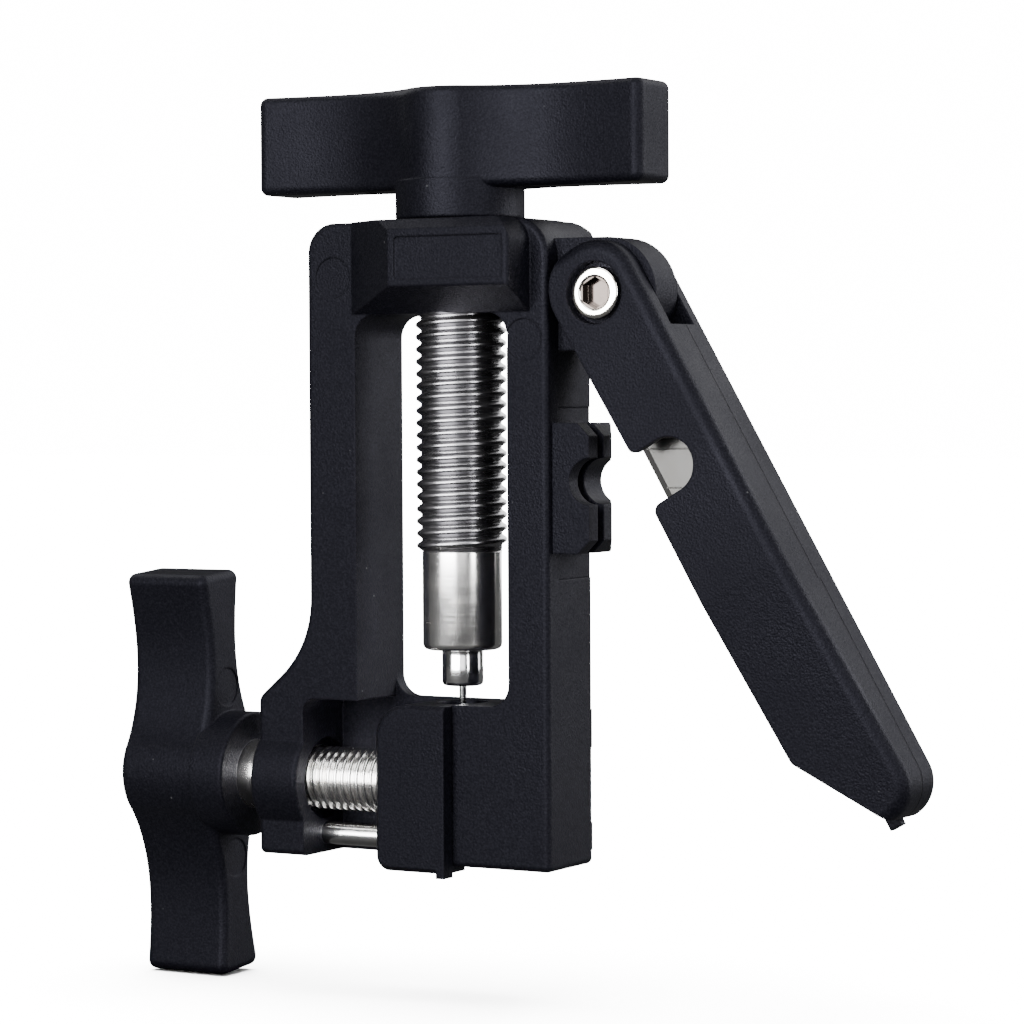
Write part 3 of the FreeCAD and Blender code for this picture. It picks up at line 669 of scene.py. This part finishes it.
def makeWasherNylon(name, look):
    material = bpy.data.materials.new(name)
    material.use_nodes = True
    tree = material.node_tree
    shader = tree.nodes["Principled BSDF"]
    grain = placeGroup(tree, mouldGrain, Scale=look["grainScale"])
    body = mixColours(tree, grain.outputs["Cloud"], look["pale"], look["stained"])
    tree.links.new(body, shader.inputs["Base Color"])
    gloss = remap(tree, grain.outputs["Cloud"], 0.3, 0.7, *look["roughness"])
    tree.links.new(gloss, shader.inputs["Roughness"])
    bump = addNode(tree, "ShaderNodeBump", Strength=0.4, Distance=look["grainDepth"])
    tree.links.new(grain.outputs["Height"], bump.inputs["Height"])
    tree.links.new(bump.outputs["Normal"], shader.inputs["Normal"])
    return material


metals = {name: makeMetal(name, look) for name, look in metalLooks.items()}
leverSeam = {"Split": 0.0008, "Stepped": 0.0014, "StepStart": 0.046, "Pivot": leverPivot}
leverNylon = makeNylon("leverNylon", nylonLook, leverSeam)
slotMaterials = {
    "black_nylon": makeNylon("blackNylon", nylonLook),
    "screw_steel": metals["pressSteel"],
    "ground_steel": metals["groundSteel"],
    "zinc_steel": metals["zincSteel"],
    "spring_steel": metals["springSteel"],
    "blade_steel": metals["bladeSteel"],
    "bright_chrome": metals["brightNickel"],
    "dark_screw_steel": metals["blackOxide"],
    "washer_nylon": makeWasherNylon("washerNylon", washerLook),
}


def dress(obj, material):
    obj.data.materials.clear()
    obj.data.materials.append(material)


slotOf = {part["node"]: part["material_slot"] for part in frame["record"]["subparts"]}
for nodeName, node in frame["nodes"].items():
    dress(node, slotMaterials[slotOf[nodeName]])
for nodeName in ("lever_front_shell", "lever_back_shell"):
    dress(frame["nodes"][nodeName], leverNylon)
dress(frame["nodes"]["guide_pin"], metals["pinSteel"])
for piece, metalName in (
    (pressScrew, "pressSteel"),
    (clampScrew, "clampSteel"),
    (needleHolder, "groundSteel"),
    (pressNeedle, "groundSteel"),
    (pivotScrew, "brightNickel"),
):
    dress(piece, metals[metalName])
print("stage: materials assigned")

# camera, floor and lights

cameraView = {
    "place": (239.2, -400.8, 61.3),
    "heading": 30.0,
    "pitch": -1.795,
    "roll": 0.30,
    "lens": 123.05,
}
floorLook = {
    "height": -18.3,
    "seen": (0.90, 0.90, 0.90, 1),
    "bounced": (0.006, 0.006, 0.006, 1),
    "light": 62.0,
    "lightSpread": 70,
}
worldLook = {"seen": 16.0, "lighting": 0.05}
# name: bearing from the camera's own, elevation, distance in metres, size in metres, power
softboxes = {
    "leftSoftbox": (-36, 4, 0.85, (0.42, 1.1), 7.0),
    "rightStrip": (37, 4, 0.85, (0.17, 1.1), 2.2),
    "frontFill": (-2, 6, 1.10, (0.42, 1.1), 2.2),
    "sideFill": (102, 18, 0.80, (0.30, 0.7), 2.8),
    "topSoftbox": (10, 76, 0.85, (0.7, 0.5), 0.8),
    "backLeft": (-135, 42, 0.90, (0.5, 0.8), 1.6),
    "backRight": (140, 42, 0.90, (0.5, 0.8), 1.6),
}
# strips that only the bright metal sees, for its clear light and dark bands
metalStrips = {
    "metalLeft": (-41, 2, 0.85, (0.74, 1.0), 70.0),
    "metalRight": (35, 2, 0.85, (0.25, 1.0), 17.0),
    "metalFront": (0, 2, 0.95, (0.50, 1.0), 3.0),
    "metalBack": (165, 8, 0.85, (0.60, 1.0), 9.0),
    "metalAbove": (-20, 62, 0.85, (0.7, 0.6), 9.0),
}
# one that only the blade's flat side mirrors
bladeStrip = (-64, -4, 0.85, (0.34, 0.30), 0.18)


def addCamera(view):
    bpy.ops.object.camera_add(location=Vector(view["place"]) * mm)
    camera = bpy.context.object
    camera.name = "camera"
    turns = (90 + view["pitch"], view["roll"], view["heading"])
    camera.rotation_euler = [math.radians(turn) for turn in turns]
    camera.data.lens = view["lens"]
    camera.data.sensor_width = 36.0
    camera.data.clip_start = 0.01
    bpy.context.scene.camera = camera


def addFloor(look):
    bpy.ops.mesh.primitive_plane_add(size=8.0, location=(0, 0, look["height"] * mm))
    floor = bpy.context.object
    floor.name = "floor"
    material = bpy.data.materials.new("paleFloor")
    material.use_nodes = True
    tree = material.node_tree
    shader = tree.nodes["Principled BSDF"]
    shader.inputs["Roughness"].default_value = 0.9
    shader.inputs["Specular IOR Level"].default_value = 0.0
    rays = addNode(tree, "ShaderNodeLightPath")
    shade = mixColours(tree, rays.outputs["Is Camera Ray"], look["bounced"], look["seen"])
    tree.links.new(shade, shader.inputs["Base Color"])
    floor.data.materials.append(material)
    # a wide soft light that falls on the floor alone keeps it pale
    bpy.ops.object.light_add(type="SUN", location=(0, 0, 1.2))
    sun = bpy.context.object
    sun.name = "floorLight"
    sun.data.energy = look["light"]
    sun.data.angle = math.radians(look["lightSpread"])
    lightOnly(sun, [floor], "floorOnly")


def addSoftbox(name, values, heading):
    bearing, elevation, distance, size, power = values
    middle = Vector((0.005, 0, 0.045))
    around = math.radians(heading + bearing - 90)
    rise = math.radians(elevation)
    flat = math.cos(rise) * distance
    place = middle + Vector((math.cos(around) * flat, math.sin(around) * flat, math.sin(rise) * distance))
    bpy.ops.object.light_add(type="AREA", location=place)
    light = bpy.context.object
    light.name = name
    light.data.shape = "RECTANGLE"
    light.data.size, light.data.size_y = size
    light.data.energy = power
    light.rotation_euler = (middle - place).to_track_quat("-Z", "Y").to_euler()
    return light


def lightOnly(light, pieces, name):
    # the light falls on these pieces and nothing else
    receivers = bpy.data.collections.get(name) or bpy.data.collections.new(name)
    for piece in pieces:
        if piece.name not in receivers.objects:
            receivers.objects.link(piece)
    light.light_linking.receiver_collection = receivers


def addWorld(look):
    world = bpy.data.worlds.new("studio")
    bpy.context.scene.world = world
    world.use_nodes = True
    tree = world.node_tree
    background = tree.nodes["Background"]
    rays = addNode(tree, "ShaderNodeLightPath")
    strength = remap(tree, rays.outputs["Is Camera Ray"], 0, 1, look["lighting"], look["seen"])
    background.inputs["Color"].default_value = (1, 1, 1, 1)
    tree.links.new(strength, background.inputs["Strength"])


addCamera(cameraView)
addFloor(floorLook)
addWorld(worldLook)
for boxName, boxValues in softboxes.items():
    addSoftbox(boxName, boxValues, cameraView["heading"])
brightPieces = [pressScrew, clampScrew, needleHolder, pressNeedle, pivotScrew]
brightPieces += [frame["nodes"]["guide_pin"], frame["nodes"]["pivot_nut"]]
for stripName, stripValues in metalStrips.items():
    lightOnly(addSoftbox(stripName, stripValues, cameraView["heading"]), brightPieces, "brightMetal")
bladeLight = addSoftbox("bladeStrip", bladeStrip, cameraView["heading"])
lightOnly(bladeLight, [frame["nodes"]["cutter_blade"]], "bladeOnly")
print("stage: camera and lights")
